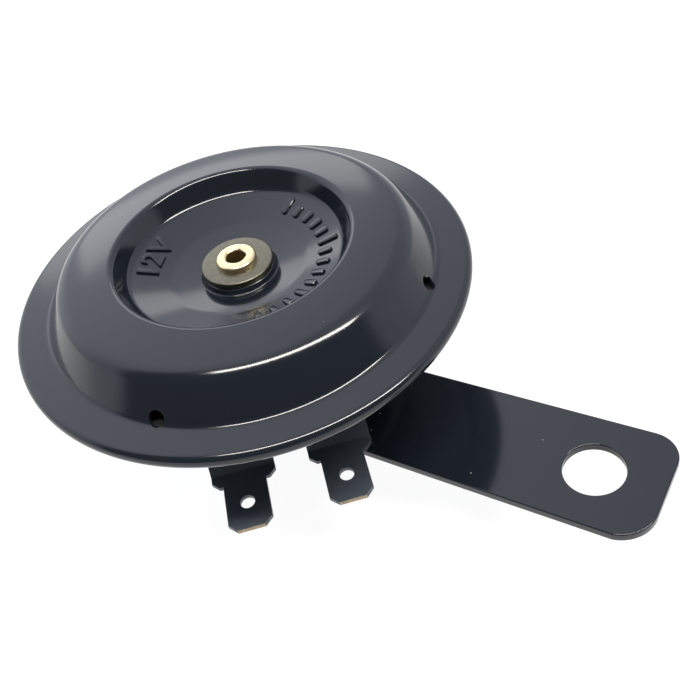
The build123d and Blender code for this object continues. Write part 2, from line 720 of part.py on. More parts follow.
# Fasteners on the stud, from the pot outwards
nut_r = STUD_D / 2 + THREAD_FIT
put("core_nut", hexagon(NUT_AF, POT_BACK_Z - NUT_H, POT_BACK_Z, nut_r, NUT_AF / 2 - 0.1))
put("core_washer", ring(STUD_D / 2 + 0.2, PLAIN_WASHER_D / 2, BRACKET_Z, BRACKET_Z + PLAIN_WASHER_T))
spring_washer = ring(STUD_D / 2 + 0.15, SPRING_WASHER_D / 2, OUTER_NUT_Z, BRACKET_BACK_Z)
split = Rot(0, 0, 200) * Pos(4.5, 0, (OUTER_NUT_Z + BRACKET_BACK_Z) / 2) * Rot(25, 0, 0) * Box(6, 0.5, 8)
put("spring_washer", spring_washer - split)
put("mounting_nut", hexagon(NUT_AF, OUTER_NUT_Z - NUT_H, OUTER_NUT_Z, nut_r, NUT_AF / 2 - 0.1))


# Leads: coil to left terminal, coil to contact spring, fixed plate to right terminal
def polar(r, angle, z):
    return (r * cos(radians(angle)), r * sin(radians(angle)), z)


def rivet_top(side, lift):
    r = hypot(TERMINAL_RIVET_AT, TERMINAL_SIDE)
    angle = TERMINAL_ANGLE + degrees(atan2(side * TERMINAL_SIDE, TERMINAL_RIVET_AT))
    return r, angle, inner_top + TERMINAL_HEAD_H + lift + LEAD_PLAY


lead_r = LEAD_D / 2
left_r, left_angle, left_z = rivet_top(-1, lead_r)
put(
    "coil_lead_terminal",
    wire_run(
        [
            polar(WINDING_D / 2 + lead_r, left_angle - 22, left_z + LEAD_CLEAR),
            polar(WINDING_D / 2 + LEAD_CLEAR, left_angle - 14, left_z + LEAD_CLEAR * 0.8),
            polar(left_r - LEAD_CLEAR, left_angle - 4, left_z),
            polar(left_r + LEAD_CLEAR * 0.6, left_angle + 1, left_z),
        ],
        LEAD_D,
        LEAD_BEND_R,
    ),
)
tab_mid = (tab_in + tab_out) / 2 - 0.4
tab_side = SPRING_TAB_REACH - 1.5
tab_r = hypot(tab_mid, tab_side)
tab_angle = BREAKER_ANGLE + degrees(atan2(tab_side, tab_mid))
put(
    "coil_lead_contact",
    wire_run(
        [
            polar(WINDING_D / 2 + lead_r, tab_angle + 34, bobbin_top - 2 * BOBBIN_FLANGE_T - LEAD_CLEAR),
            polar(WINDING_D / 2 + LEAD_CLEAR * 1.5, tab_angle + 29, bobbin_top - BOBBIN_FLANGE_T - LEAD_CLEAR),
            polar(tab_r - 3 * LEAD_CLEAR - 0.2, tab_angle + 23, bobbin_top - LEAD_CLEAR / 8),
            polar(tab_r - LEAD_CLEAR, tab_angle + 13, spring_top + LEAD_CLEAR),
            polar(tab_r, tab_angle + 4, spring_top + lead_r + 0.3),
            polar(tab_r + 0.2, tab_angle + 1, spring_top + lead_r),
        ],
        LEAD_D,
        LEAD_BEND_R,
    ),
)
right_r, right_angle, right_z = rivet_top(1, LINK_D / 2)
link_side = PLATE_TAB_REACH - 1.2
link_mid = (tab_in + tab_out) / 2
link_angle = BREAKER_ANGLE - degrees(atan2(link_side, link_mid))
link_r = hypot(link_mid, link_side)
link_in = POT_D / 2 - 4.0
put(
    "contact_link_lead",
    wire_run(
        [
            polar(link_r, link_angle, fixed_top + LINK_D / 2 + LEAD_PLAY),
            polar(link_r - 0.8, link_angle - 7, fixed_top + LINK_D / 2 + LEAD_PLAY),
            polar(link_in + 3.0, link_angle - 14, fixed_top - LINK_D / 2),
            polar(link_in + 0.4, link_angle - 24, fixed_top - 3.5 * LINK_D),
            polar(link_in, link_angle - 50, right_z + 1.5 * LINK_D),
            polar(link_in, right_angle + 24, right_z + LINK_D),
            polar(right_r, right_angle + 7, right_z),
            polar(right_r, right_angle, right_z),
        ],
        LINK_D,
        LINK_BEND_R,
    ),
)

for name, shape in nodes.items():
    placed = TO_MOUNT * shape
    placed.label = name
    export_step(placed, "parts/" + name + ".step")
    print(name, round(placed.volume, 1))
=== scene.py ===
# %% [markdown]
# # Dressing a small disc horn
#
# This horn is a black enamelled steel disc about 67 mm across. A stamped front plate is rolled
# round the edge of a thin diaphragm and a drawn rear pot, a hollow brass rivet holds the middle,
# two blade terminals stick out under the rim, and a strip bracket with one bolt hole carries it
# all. The solids are already there as the frame. The cells below give them their finishes, and
# make again the few pieces whose rounded edges, threads or cut ends a plain solid doesn't have.

import bpy
import bmesh
import json
from math import atan2, cos, hypot, pi, radians, sin, sqrt, tan
from mathutils import Matrix, Vector


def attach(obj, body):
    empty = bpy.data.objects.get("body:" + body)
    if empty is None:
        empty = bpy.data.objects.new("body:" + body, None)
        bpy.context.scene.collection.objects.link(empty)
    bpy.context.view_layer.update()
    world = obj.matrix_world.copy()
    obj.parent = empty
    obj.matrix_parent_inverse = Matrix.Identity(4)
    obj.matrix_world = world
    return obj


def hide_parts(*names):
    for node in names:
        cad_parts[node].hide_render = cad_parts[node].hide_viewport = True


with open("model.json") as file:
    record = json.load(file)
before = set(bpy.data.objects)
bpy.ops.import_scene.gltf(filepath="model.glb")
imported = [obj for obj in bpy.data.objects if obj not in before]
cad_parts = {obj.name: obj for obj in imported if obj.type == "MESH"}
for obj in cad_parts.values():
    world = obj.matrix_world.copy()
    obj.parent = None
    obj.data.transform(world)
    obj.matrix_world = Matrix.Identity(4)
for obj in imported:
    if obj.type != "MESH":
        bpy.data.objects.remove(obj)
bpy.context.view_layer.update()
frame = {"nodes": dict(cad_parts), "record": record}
nodes = frame["nodes"]
slot_of = {part["node"]: part["material_slot"] for part in frame["record"]["subparts"]}

# %% [markdown]
# ## Where things are
#
# A round thing is easiest to draw on its own axis, in millimetres. The frame's origin is the bolt
# hole of the bracket, so every mesh is drawn about the horn's axis first and moved once at the
# end. The heights come from the stack that the rim is rolled round: plate, gasket, diaphragm,
# gasket, housing and plate again.

# %% Sizes shared by several pieces, in millimetres
HOLE_X = 53.7
HOLE_DROP = 16.06584
PLATE_T = 0.45
FLANGE_Z = 1.05
FOOT_Z = 1.5
CONE_Z = 2.3
FLOOR_Z = 4.1
PLATEAU_Z = 2.4
RING_Z = 7.2
RIM_R = 33.5
POT_Z = -13.75
POT_BACK_Z = -14.4
BRACKET_Z = -20.2
STUD_END_Z = -30.15
TO_FRAME = Matrix.Scale(0.001, 4) @ Matrix.Translation((-HOLE_X, 0, HOLE_DROP))
print("rim centre in the frame, metres", tuple(round(v, 5) for v in TO_FRAME @ Vector((0, 0, 0))))

# %% [markdown]
# ## Colour and node helpers
#
# Colours are written the way a paint chart gives them, as sRGB hex. The renderer mixes light in
# linear numbers, so one function turns hex to linear. One more adds a node with its settings,
# values and links, which keeps every material readable from top to bottom.

# %% Turn a hex colour to linear light
def linear(hex_colour):
    channels = [int(hex_colour[i : i + 2], 16) / 255 for i in (1, 3, 5)]
    light = [c / 12.92 if c <= 0.04045 else ((c + 0.055) / 1.055) ** 2.4 for c in channels]
    return (*light, 1.0)


print("mid grey in linear light", [round(c, 3) for c in linear("#808080")])


# %% Add one node with its settings, values and links
def add_node(tree, kind, settings=None, values=None, links=None):
    node = tree.nodes.new(kind)
    for name, value in (settings or {}).items():
        setattr(node, name, value)
    for name, value in (values or {}).items():
        node.inputs[name].default_value = value
    for name, source in (links or {}).items():
        tree.links.new(source, node.inputs[name])
    return node


# %% Start a material from its surface values
def surface(name, values):
    finish = bpy.data.materials.new(name)
    finish.use_nodes = True
    tree = finish.node_tree
    tree.nodes.clear()
    shader = add_node(tree, "ShaderNodeBsdfPrincipled", values=values)
    add_node(tree, "ShaderNodeOutputMaterial", links={"Surface": shader.outputs["BSDF"]})
    place = add_node(tree, "ShaderNodeTexCoord").outputs["Object"]
    return finish, tree, shader, place


finishes = {}
print("material helpers ready")

# %% [markdown]
# ## Black enamel
#
# The stampings are dipped and baked in black enamel. It is a clear glossy resin full of carbon
# black: almost no colour of its own, an IOR near 1.5, and a skin that flows out nearly flat but
# keeps a faint orange peel about a millimetre across. Dust lands on it, so a few light specks a
# fifth of a millimetre wide break up the reflections. Noise nodes give both, because their scale
# is simply one over the real size in metres.

# %% Baked black enamel
enamel, tree, shader, place = surface(
    "baked_black_enamel", {"Base Color": linear("#12171e"), "Roughness": 0.13, "IOR": 1.5}
)
# peel about 1.1 mm across, on slower sags about 6 mm across
peel = add_node(
    tree, "ShaderNodeTexNoise", values={"Scale": 900.0, "Detail": 1.0}, links={"Vector": place}
)
sag = add_node(
    tree, "ShaderNodeTexNoise", values={"Scale": 160.0, "Detail": 0.0}, links={"Vector": place}
)
skin = add_node(
    tree,
    "ShaderNodeMath",
    {"operation": "MULTIPLY_ADD"},
    {1: 3.0},
    {0: sag.outputs["Fac"], 2: peel.outputs["Fac"]},
)
flow = add_node(
    tree,
    "ShaderNodeBump",
    values={"Strength": 1.0, "Distance": 0.0000012},
    links={"Height": skin.outputs["Value"]},
)
tree.links.new(flow.outputs["Normal"], shader.inputs["Normal"])
# specks: one cell every 3.5 mm, a third of the cells hold a grain about 0.2 mm wide
grains = add_node(tree, "ShaderNodeTexVoronoi", values={"Scale": 285.0}, links={"Vector": place})
near = add_node(
    tree,
    "ShaderNodeMapRange",
    values={"From Min": 0.022, "From Max": 0.034, "To Min": 1.0, "To Max": 0.0},
    links={"Value": grains.outputs["Distance"]},
)
pick = add_node(tree, "ShaderNodeSeparateColor", links={"Color": grains.outputs["Color"]})
some = add_node(
    tree, "ShaderNodeMath", {"operation": "GREATER_THAN"}, {1: 0.67}, {0: pick.outputs["Red"]}
)
speck = add_node(
    tree,
    "ShaderNodeMath",
    {"operation": "MULTIPLY"},
    links={0: near.outputs["Result"], 1: some.outputs["Value"]},
)
dusty = add_node(
    tree,
    "ShaderNodeMix",
    {"data_type": "RGBA"},
    {6: linear("#12171e"), 7: linear("#7c7d7e")},
    {"Factor": speck.outputs["Value"]},
)
tree.links.new(dusty.outputs[2], shader.inputs["Base Color"])
finishes["black_paint"] = enamel
print("made", enamel.name)

# %% Dull black lacquer of the terminals
lacquer, tree, shader, place = surface(
    "dull_black_lacquer", {"Base Color": linear("#3c424a"), "Roughness": 0.38}
)
# brushed on thin: lighter and duller in patches about 1.2 mm wide
thin = add_node(
    tree, "ShaderNodeTexNoise", values={"Scale": 830.0, "Detail": 3.0}, links={"Vector": place}
)
tint = add_node(
    tree,
    "ShaderNodeMix",
    {"data_type": "RGBA"},
    {6: linear("#353b43"), 7: linear("#454b53")},
    {"Factor": thin.outputs["Fac"]},
)
tree.links.new(tint.outputs[2], shader.inputs["Base Color"])
strokes = add_node(
    tree,
    "ShaderNodeBump",
    values={"Strength": 0.5, "Distance": 0.000008},
    links={"Height": thin.outputs["Fac"]},
)
tree.links.new(strokes.outputs["Normal"], shader.inputs["Normal"])
print("made", lacquer.name)

# %% [markdown]
# ## Plated and bare metals
#
# A metal gets its colour from the reflection itself, so Metallic is 1 and the IOR keeps its
# default. What tells one from another is the tint and how the surface was made: zinc plate is a
# mottled blue-grey, the washer's thin olive passivation is duller, turned brass is pale and
# bright, and the sheared ends of the brass blades are bare, with fine shear lines across them.

# %% Zinc-plated steel of the stud, nuts and washers
zinc, tree, shader, place = surface(
    "zinc_plated_steel", {"Base Color": linear("#b7babb"), "Metallic": 1.0, "Roughness": 0.32}
)
# spangle: crystals of the plate show as patches about 1.5 mm across
spangle = add_node(
    tree, "ShaderNodeTexNoise", values={"Scale": 650.0, "Detail": 3.0}, links={"Vector": place}
)
tint = add_node(
    tree,
    "ShaderNodeMix",
    {"data_type": "RGBA"},
    {6: linear("#9fa4a8"), 7: linear("#c6c7c3")},
    {"Factor": spangle.outputs["Fac"]},
)
tree.links.new(tint.outputs[2], shader.inputs["Base Color"])
dull = add_node(
    tree,
    "ShaderNodeMapRange",
    values={"From Min": 0.3, "From Max": 0.7, "To Min": 0.24, "To Max": 0.42},
    links={"Value": spangle.outputs["Fac"]},
)
tree.links.new(dull.outputs["Result"], shader.inputs["Roughness"])
finishes["zinc_steel"] = zinc
print("made", zinc.name)

# %% Olive passivated washer steel
olive, tree, shader, place = surface(
    "olive_passivated_steel", {"Base Color": linear("#5f5d52"), "Metallic": 1.0, "Roughness": 0.36}
)
# tumbling leaves it cloudy at about 0.5 mm with finer grain in it, and slightly pitted at 0.15 mm
cloud = add_node(
    tree,
    "ShaderNodeTexNoise",
    values={"Scale": 2000.0, "Detail": 5.0, "Roughness": 0.7},
    links={"Vector": place},
)
tint = add_node(
    tree,
    "ShaderNodeMix",
    {"data_type": "RGBA"},
    {6: linear("#45433a"), 7: linear("#7f7c6d")},
    {"Factor": cloud.outputs["Fac"]},
)
tree.links.new(tint.outputs[2], shader.inputs["Base Color"])
pits = add_node(
    tree, "ShaderNodeTexNoise", values={"Scale": 6500.0, "Detail": 2.0}, links={"Vector": place}
)
pitted = add_node(
    tree,
    "ShaderNodeBump",
    values={"Strength": 0.5, "Distance": 0.000006},
    links={"Height": pits.outputs["Fac"]},
)
tree.links.new(pitted.outputs["Normal"], shader.inputs["Normal"])
finishes["washer_steel"] = olive
print("made", olive.name)

# %% Turned brass of the rivets
brass, tree, shader, place = surface(
    "turned_brass", {"Base Color": linear("#dfd0a8"), "Metallic": 1.0, "Roughness": 0.26}
)
# handling film: brass tarnishes in soft patches about 2.4 mm wide
film = add_node(
    tree, "ShaderNodeTexNoise", values={"Scale": 420.0, "Detail": 2.0}, links={"Vector": place}
)
tint = add_node(
    tree,
    "ShaderNodeMix",
    {"data_type": "RGBA"},
    {6: linear("#e8dcba"), 7: linear("#d0bc90")},
    {"Factor": film.outputs["Fac"]},
)
tree.links.new(tint.outputs[2], shader.inputs["Base Color"])
finishes["brass"] = brass
print("made", brass.name)

# %% Sheared bare ends of the blades
sheared, tree, shader, place = surface(
    "sheared_bare_brass", {"Base Color": linear("#94836c"), "Metallic": 1.0, "Roughness": 0.45}
)
# shear lines run through the 0.8 mm thickness, about 12 to the millimetre; they are drawn 0.15 mm
# apart, coarser than real, so that they show
across_cut = add_node(
    tree,
    "ShaderNodeMapping",
    values={"Scale": (6600.0, 6600.0, 300.0)},
    links={"Vector": place},
)
lines = add_node(
    tree,
    "ShaderNodeTexNoise",
    values={"Scale": 1.0, "Detail": 2.0},
    links={"Vector": across_cut.outputs["Vector"]},
)
tint = add_node(
    tree,
    "ShaderNodeMix",
    {"data_type": "RGBA"},
    {6: linear("#5b4f43"), 7: linear("#c4b192")},
    {"Factor": lines.outputs["Fac"]},
)
tree.links.new(tint.outputs[2], shader.inputs["Base Color"])
torn = add_node(
    tree,
    "ShaderNodeBump",
    values={"Strength": 0.6, "Distance": 0.00002},
    links={"Height": lines.outputs["Fac"]},
)
tree.links.new(torn.outputs["Normal"], shader.inputs["Normal"])
print("made", sheared.name)

# %% [markdown]
# ## The hidden finishes
#
# Nine more materials are inside the closed case. They show only if the horn is taken apart, but a
# piece with no finish is not finished. Each differs from the others in its colour, how it
# reflects and one pattern, so a short table and one cell make them all: a rolled strip has grain
# along it, paper has fibres, a winding has its turns.

# %% Finishes of the inner pieces
# slot: name, colour, second colour, metallic, roughness, pattern size in mm along X, Y and Z,
# bump depth in mm
INNER = {
    "spring_steel": (
        "rolled_spring_steel", "#8f9294", "#a9abab",
        1.0, 0.28, (6.0, 0.2, 6.0), 0.004,
    ),
    "soft_iron": ("turned_soft_iron", "#7d7e80", "#96979a", 1.0, 0.38, (2.0, 2.0, 0.15), 0.008),
    "bronze": ("rolled_phosphor_bronze", "#b07f52", "#c69566", 1.0, 0.3, (0.2, 5.0, 5.0), 0.004),
    "copper_wire": (
        "enamelled_copper_wire", "#7c3f22", "#a4572c",
        1.0, 0.3, (9.0, 9.0, 0.3), 0.06,
    ),
    "contact_metal": (
        "ground_silver_alloy", "#b9b9b7", "#cfcfcc",
        1.0, 0.33, (0.1, 1.5, 1.5), 0.003,
    ),
    "gasket_paper": (
        "pressed_gasket_paper", "#7c6a4c", "#94805f",
        0.0, 0.85, (1.2, 0.5, 0.5), 0.02,
    ),
    "black_plastic": (
        "moulded_phenolic", "#141414", "#1c1b1a",
        0.0, 0.42, (0.9, 0.9, 0.9), 0.006,
    ),
    "fibre": ("vulcanised_fibre", "#6d2f1c", "#82412a", 0.0, 0.6, (1.5, 0.3, 0.3), 0.01),
    "lead_sleeve": ("soft_vinyl_sleeve", "#17171a", "#202024", 0.0, 0.48, (0.8, 0.8, 0.8), 0.006),
}
for slot, (name, first, second, metallic, roughness, grain, depth) in INNER.items():
    finish, tree, shader, place = surface(
        name, {"Base Color": linear(first), "Metallic": metallic, "Roughness": roughness}
    )
    stretch = add_node(
        tree,
        "ShaderNodeMapping",
        values={"Scale": tuple(1000.0 / size for size in grain)},
        links={"Vector": place},
    )
    pattern = add_node(
        tree,
        "ShaderNodeTexNoise",
        values={"Scale": 1.0, "Detail": 3.0},
        links={"Vector": stretch.outputs["Vector"]},
    )
    tint = add_node(
        tree,
        "ShaderNodeMix",
        {"data_type": "RGBA"},
        {6: linear(first), 7: linear(second)},
        {"Factor": pattern.outputs["Fac"]},
    )
    tree.links.new(tint.outputs[2], shader.inputs["Base Color"])
    relief = add_node(
        tree,
        "ShaderNodeBump",
        values={"Strength": 0.7, "Distance": depth / 1000},
        links={"Height": pattern.outputs["Fac"]},
    )
    tree.links.new(relief.outputs["Normal"], shader.inputs["Normal"])
    finishes[slot] = finish
print("made", len(finishes), "finishes by slot")

# %% Give every solid its finish
for name, solid in nodes.items():
    solid.data.materials.clear()
    solid.data.materials.append(finishes[slot_of[name]])
print("dressed", len(nodes), "solids")

# %% [markdown]
# ## Drawing round pieces
#
# A press and a lathe both make shapes with one outline turned about an axis, so the outline is
# drawn as straight runs with rounded corners and then revolved. A sheet has two such outlines, a
# thickness apart. Doing it in mesh code, and not with a modifier, keeps the corner radii exact,
# and they are what catches the light on a black stamping.

# %% Round the corners of a run of points
def rounded(points, radii, degrees_per_step=7.0):
    path = [points[0]]
    for i in range(1, len(points) - 1):
        corner = Vector(points[i])
        back = (Vector(points[i - 1]) - corner).normalized()
        ahead = (Vector(points[i + 1]) - corner).normalized()
        r = radii[i - 1]
        half = back.angle(ahead) / 2
        if r <= 0 or half > pi / 2 - 0.004:
            path.append(tuple(corner))
            continue
        centre = corner + (back + ahead).normalized() * (r / sin(half))
        start = corner + back * (r / tan(half)) - centre
        stop = corner + ahead * (r / tan(half)) - centre
        swing = start.angle_signed(stop)
        steps = max(2, round(abs(swing) / radians(degrees_per_step)))
        for k in range(steps + 1):
            turn = -swing * k / steps
            x = start.x * cos(turn) - start.y * sin(turn)
            y = start.x * sin(turn) + start.y * cos(turn)
            path.append((centre.x + x, centre.y + y))
    path.append(points[-1])
    return path


corner_points = len(rounded([(0, 0), (5, 0), (5, 5)], [1])) - 2
print("a square corner of radius 1 takes", corner_points, "points")


# %% Outline of a sheet: one surface, then the other a thickness to its right
def sheet_outline(points, radii, thickness):
    normals = []
    for (ax, ay), (bx, by) in zip(points, points[1:]):
        size = hypot(bx - ax, by - ay)
        normals.append(Vector(((by - ay) / size, (ax - bx) / size)))
    other = []
    for i, point in enumerate(points):
        first = normals[max(i - 1, 0)]
        second = normals[min(i, len(normals) - 1)]
        middle = (first + second).normalized()
        other.append(tuple(Vector(point) + middle * (thickness / middle.dot(first))))
    other_radii = []
    for i in range(1, len(points) - 1):
        turns_right = normals[i - 1].x * normals[i].y - normals[i - 1].y * normals[i].x < 0
        r = radii[i - 1]
        other_radii.append(max(r - thickness, 0.05) if turns_right else r + thickness)
    return rounded(points, radii) + rounded(other[::-1], other_radii[::-1])


# %% Finish a mesh: into the frame, smooth where it is smooth, with its material and slot
def finish_piece(name, mesh, materials, replaced=(), sharp=35.0, broad=False):
    mesh.transform(TO_FRAME)
    mesh.validate()
    for material in materials:
        mesh.materials.append(material)
    mesh.shade_smooth()
    if broad:
        # each face pulls on a corner by its area: flat faces stay flat, narrow edge faces curve
        pull = [Vector() for _ in mesh.vertices]
        for face in mesh.polygons:
            for corner in face.vertices:
                pull[corner] += face.normal * face.area
        mesh.normals_split_custom_set_from_vertices([v.normalized() for v in pull])
    else:
        mesh.set_sharp_from_angle(angle=radians(sharp))
    piece = bpy.data.objects.new(name, mesh)
    bpy.context.scene.collection.objects.link(piece)
    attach(piece, "root")
    if replaced:
        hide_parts(*replaced)
    print(name, "faces", len(mesh.polygons))
    return piece


# %% Revolve a closed outline
def revolve(name, outline, turns):
    mesh = bpy.data.meshes.new(name)
    verts = []
    for k in range(turns):
        a = 2 * pi * k / turns
        verts += [(r * cos(a), r * sin(a), z) for r, z in outline]
    n = len(outline)
    faces = []
    for k in range(turns):
        a = k * n
        b = (k + 1) % turns * n
        faces += [(a + i, b + i, b + (i + 1) % n, a + (i + 1) % n) for i in range(n)]
    mesh.from_pydata(verts, [], faces)
    shape = bmesh.new()
    shape.from_mesh(mesh)
    bmesh.ops.recalc_face_normals(shape, faces=shape.faces)
    shape.to_mesh(mesh)
    shape.free()
    return mesh


# %% Cut one mesh with others, as a drill or a saw does
def cut(mesh, tools):
    blank = bpy.data.objects.new("blank", mesh)
    bpy.context.scene.collection.objects.link(blank)
    made = []
    for tool in tools:
        cutter = bpy.data.objects.new("cutter", tool)
        bpy.context.scene.collection.objects.link(cutter)
        made.append(cutter)
        step = blank.modifiers.new("cut", "BOOLEAN")
        step.operation = "DIFFERENCE"
        step.solver = "EXACT"
        step.object = cutter
    graph = bpy.context.evaluated_depsgraph_get()
    result = bpy.data.meshes.new_from_object(blank.evaluated_get(graph))
    for thing in (*made, blank):
        bpy.data.objects.remove(thing)
    return result


# %% [markdown]
# ## The front plate
#
# One stamping does four jobs: a flat centre boss for the rivet in a shallow dish, a raised ring
# with a rounded shoulder, and a flange whose edge is rolled back round the whole stack like the
# rim of a tin. Its outline is the same run of points as in the solid. Four small vents are
# drilled through the foot of the ring's wall, square to it, so they are cut afterwards.

# %% Radii of the front plate, from its hole to the foot of its ring
HOLE_R = 2.1
PLATEAU_R = 5.3
STEP_FOOT_R = 5.64
CONE_R = 10.0
FLOOR_R = 15.8
RECESS_R = 17.2
SHOULDER_R = 24.9
WALL_FOOT_R = 28.6
SHOULDER_Z = RING_Z - 0.6
LIP_REACH = 2.9
print("raised ring is", round(SHOULDER_R - RECESS_R, 2), "mm wide on top")

# %% Press the front plate
plate_points = [
    (HOLE_R, PLATEAU_Z),
    (PLATEAU_R, PLATEAU_Z),
    (STEP_FOOT_R, FOOT_Z),
    (CONE_R, CONE_Z),
    (FLOOR_R, FLOOR_Z),
    (RECESS_R, RING_Z),
    (SHOULDER_R, SHOULDER_Z),
    (WALL_FOOT_R, FLANGE_Z),
    (RIM_R, FLANGE_Z),
    (RIM_R, -FLANGE_Z),
    (RIM_R - LIP_REACH, -FLANGE_Z),
]
plate_radii = [0.5, 0.3, 8.0, 1.4, 1.0, 3.2, 1.1, 1.0, 1.0]
plate = revolve("front_plate_stamping", sheet_outline(plate_points, plate_radii, PLATE_T), 288)

# %% Drill the vents square to the wall
VENT_R = 1.1
VENT_UP = 0.75
AXIS = 0.0001  # a turned outline stops just short of the axis
wall = Vector((SHOULDER_R - WALL_FOOT_R, SHOULDER_Z - FLANGE_Z))
vent_at = WALL_FOOT_R + wall.x * VENT_UP / wall.y
drills = []
for angle in (15.0, 105.0, 195.0, 285.0):
    drill = revolve("drill", [(AXIS, -1.5), (VENT_R, -1.5), (VENT_R, 1.5), (AXIS, 1.5)], 32)
    lean = Matrix.Rotation(atan2(wall.y, -wall.x), 4, "Y")
    drill.transform(
        Matrix.Rotation(radians(angle), 4, "Z")
        @ Matrix.Translation((vent_at, 0, FLANGE_Z + VENT_UP))
        @ lean
    )
    drills.append(drill)
plate = cut(plate, drills)
finish_piece("front_plate_stamping", plate, [enamel], ["front_plate"])

# %% [markdown]
# ## Raised marks in the dish
#
# The die also raises small marks on the slope of the dish. Here they are plain ones: the working
# voltage on one side and a row of short bars on the other. They are drawn flat as curves with a
# bevelled edge, because a pressed mark has soft sloping sides that glint, and then wrapped round
# the cone of the dish: across becomes an angle, and up becomes a way up the slope.

# %% Turn a flat drawing with holes into a bevelled plate
def flat_plate(name, outlines, low, high, edge):
    drawing = bpy.data.curves.new(name, "CURVE")
    drawing.dimensions = "2D"
    drawing.fill_mode = "BOTH"
    drawing.extrude = (high - low) / 2 - edge
    drawing.bevel_depth = edge
    drawing.bevel_resolution = 2
    drawing.offset = -edge
    for outline in outlines:
        run = drawing.splines.new("POLY")
        run.points.add(len(outline) - 1)
        for point, (x, y) in zip(run.points, outline):
            point.co = (x, y, 0, 1)
        run.use_cyclic_u = True
    mesh = to_mesh(drawing)
    mesh.transform(Matrix.Translation((0, 0, (high + low) / 2)))
    return mesh


def to_mesh(drawing):
    holder = bpy.data.objects.new("drawing", drawing)
    bpy.context.scene.collection.objects.link(holder)
    graph = bpy.context.evaluated_depsgraph_get()
    mesh = bpy.data.meshes.new_from_object(holder.evaluated_get(graph))
    bpy.data.objects.remove(holder)
    shape = bmesh.new()
    shape.from_mesh(mesh)
    bmesh.ops.remove_doubles(shape, verts=shape.verts, dist=0.001)
    bmesh.ops.recalc_face_normals(shape, faces=shape.faces)
    shape.to_mesh(mesh)
    shape.free()
    return mesh


def circle(x, y, r, steps):
    turns = [2 * pi * k / steps for k in range(steps)]
    return [(x + r * cos(turn), y + r * sin(turn)) for turn in turns]


# %% Wrap a flat drawing round the cone of the dish
SLOPE = atan2(FLOOR_Z - CONE_Z, FLOOR_R - CONE_R)
print("dish slopes", round(SLOPE / radians(1), 1), "degrees")


def wrap(mesh, angle, r):
    start_z = CONE_Z + (r - CONE_R) * tan(SLOPE)
    for vert in mesh.vertices:
        across, up, high = vert.co
        reach = r + up * cos(SLOPE) - high * sin(SLOPE)
        turn = radians(angle) - across / r
        lift = start_z + up * sin(SLOPE) + high * cos(SLOPE)
        vert.co = (reach * cos(turn), reach * sin(turn), lift)


# %% Raise the working voltage
MARK_H = 0.38
MARK_SINK = 0.05
LETTER_EDGE = 0.13
marks = bmesh.new()
words = bpy.data.curves.new("rating", "FONT")
words.body = "12V"
words.size = 4.4
words.space_character = 1.12
words.align_x = "CENTER"
words.extrude = MARK_H / 2 - LETTER_EDGE
words.bevel_depth = LETTER_EDGE
words.bevel_resolution = 2
rating = to_mesh(words)
rating.transform(Matrix.Translation((0, 0, MARK_H / 2 - MARK_SINK)))
wrap(rating, 200.0, 11.8)
marks.from_mesh(rating)
print("voltage faces", len(marks.faces))

# %% Raise the row of bars, every fifth one longer
LONG_BAR, SHORT_BAR, BAR_HALF = 3.2, 2.2, 0.45
for k in range(14):
    reach = LONG_BAR if k % 5 == 0 else SHORT_BAR
    side = [(-BAR_HALF, 0), (-BAR_HALF, reach), (BAR_HALF, reach), (BAR_HALF, 0)]
    bar = rounded([(-0.01, 0), *side, (0.01, 0)], [0.4] * 4, 30)
    tick = flat_plate("tick", [bar], -MARK_SINK, MARK_H - MARK_SINK, 0.16)
    wrap(tick, 90.0 - k * 10.0, 11.9)
    marks.from_mesh(tick)
raised = bpy.data.meshes.new("recess_marks")
marks.to_mesh(raised)
marks.free()
finish_piece("recess_marks", raised, [enamel], sharp=20.0)

# %% [markdown]
# ## Centre rivet and washer
#
# A hollow brass rivet is clinched over an olive washer. Both are turned parts, and what shows of
# them is their rounded edges: a bright ring round the dark bore, and a thin light line on the
# washer's rim.

# %% Turn the washer
WASHER_Z = PLATEAU_Z + 0.92
WASHER_R = 5.28
washer_outline = rounded(
    [
        (HOLE_R, 2.8),
        (HOLE_R, WASHER_Z),
        (WASHER_R, WASHER_Z),
        (WASHER_R, PLATEAU_Z),
        (HOLE_R, PLATEAU_Z),
        (HOLE_R, 2.7),
    ],
    [0.08, 0.26, 0.15, 0.08],
    15,
)
washer = revolve("centre_washer_turned", washer_outline, 128)
finish_piece("centre_washer_turned", washer, [olive], ["centre_washer"])

# %% Turn the hollow rivet
BORE_R, HEAD_R, SHANK_R = 1.45, 2.95, 2.05
FLARE_Z, RIVET_END_Z = -7.4, -8.0
head_z = WASHER_Z + 0.8
rivet_outline = rounded(
    [
        (BORE_R, 0.0),
        (BORE_R, head_z),
        (HEAD_R, head_z),
        (HEAD_R, WASHER_Z),
        (SHANK_R, WASHER_Z),
        (SHANK_R, FLARE_Z),
        (2.9, FLARE_Z),
        (2.8, RIVET_END_Z),
        (BORE_R, RIVET_END_Z),
        (BORE_R, -0.1),
    ],
    [0.3, 0.42, 0.0, 0.0, 0.0, 0.1, 0.1, 0.0],
    12,
)
rivet = revolve("centre_rivet_clinched", rivet_outline, 96)
# the clinching punch leaves the mouth of the bore slightly out of round
MOUTH_R = 1.9
for vert in rivet.vertices:
    r = hypot(vert.co.x, vert.co.y)
    if r < MOUTH_R and vert.co.z > head_z - 1.2:
        lobes = 1 + cos(5 * atan2(vert.co.y, vert.co.x))
        squeeze = 1 - 0.03 * lobes * (MOUTH_R - r) / 0.45
        vert.co.x *= squeeze
        vert.co.y *= squeeze
finish_piece("centre_rivet_clinched", rivet, [brass], ["centre_rivet"])

